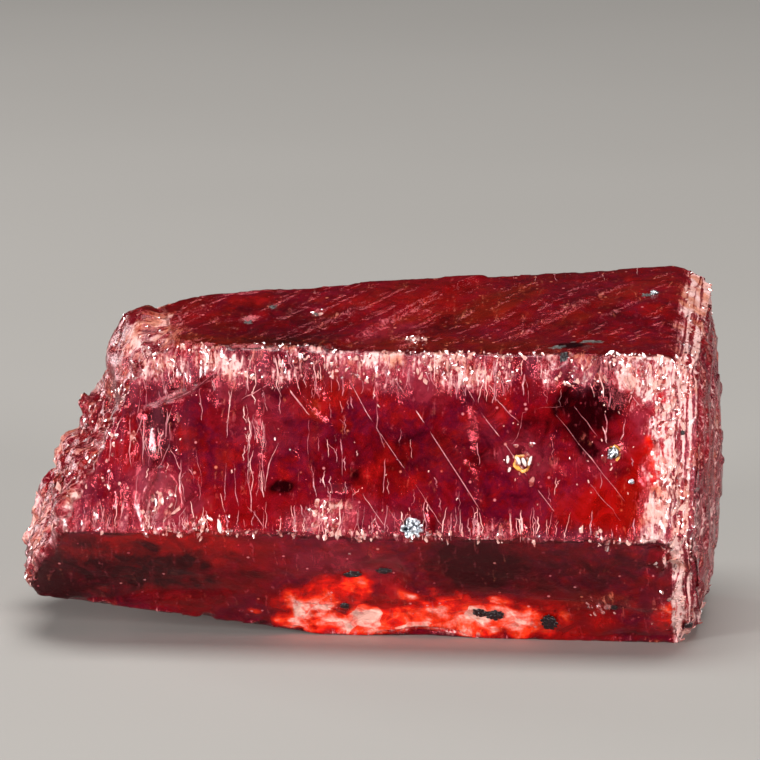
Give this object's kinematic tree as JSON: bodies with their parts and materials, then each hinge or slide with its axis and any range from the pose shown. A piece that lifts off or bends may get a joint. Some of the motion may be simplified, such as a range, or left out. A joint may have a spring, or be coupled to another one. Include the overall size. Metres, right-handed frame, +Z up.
{
  "type": "ruby crystal",
  "caption": "Raw ruby crystal, a stubby hexagonal prism lying on a long face, with a plated end, a rough broken end and etch pits.",
  "frame": {"origin": "middle of the footprint box, on the surface that the crystal lies on", "axes": "+X along the crystal towards the plated end, -Y out of the etched front face, +Z up"},
  "size_m": [0.0142, 0.0086, 0.0068],
  "materials": {
    "ruby": "deep red, partly see-through, glassy where it is clean and frosted pink where it is etched or broken"
  },
  "bodies": {
    "root": {"ruby_crystal": "ruby"}
  },
  "joints": []
}
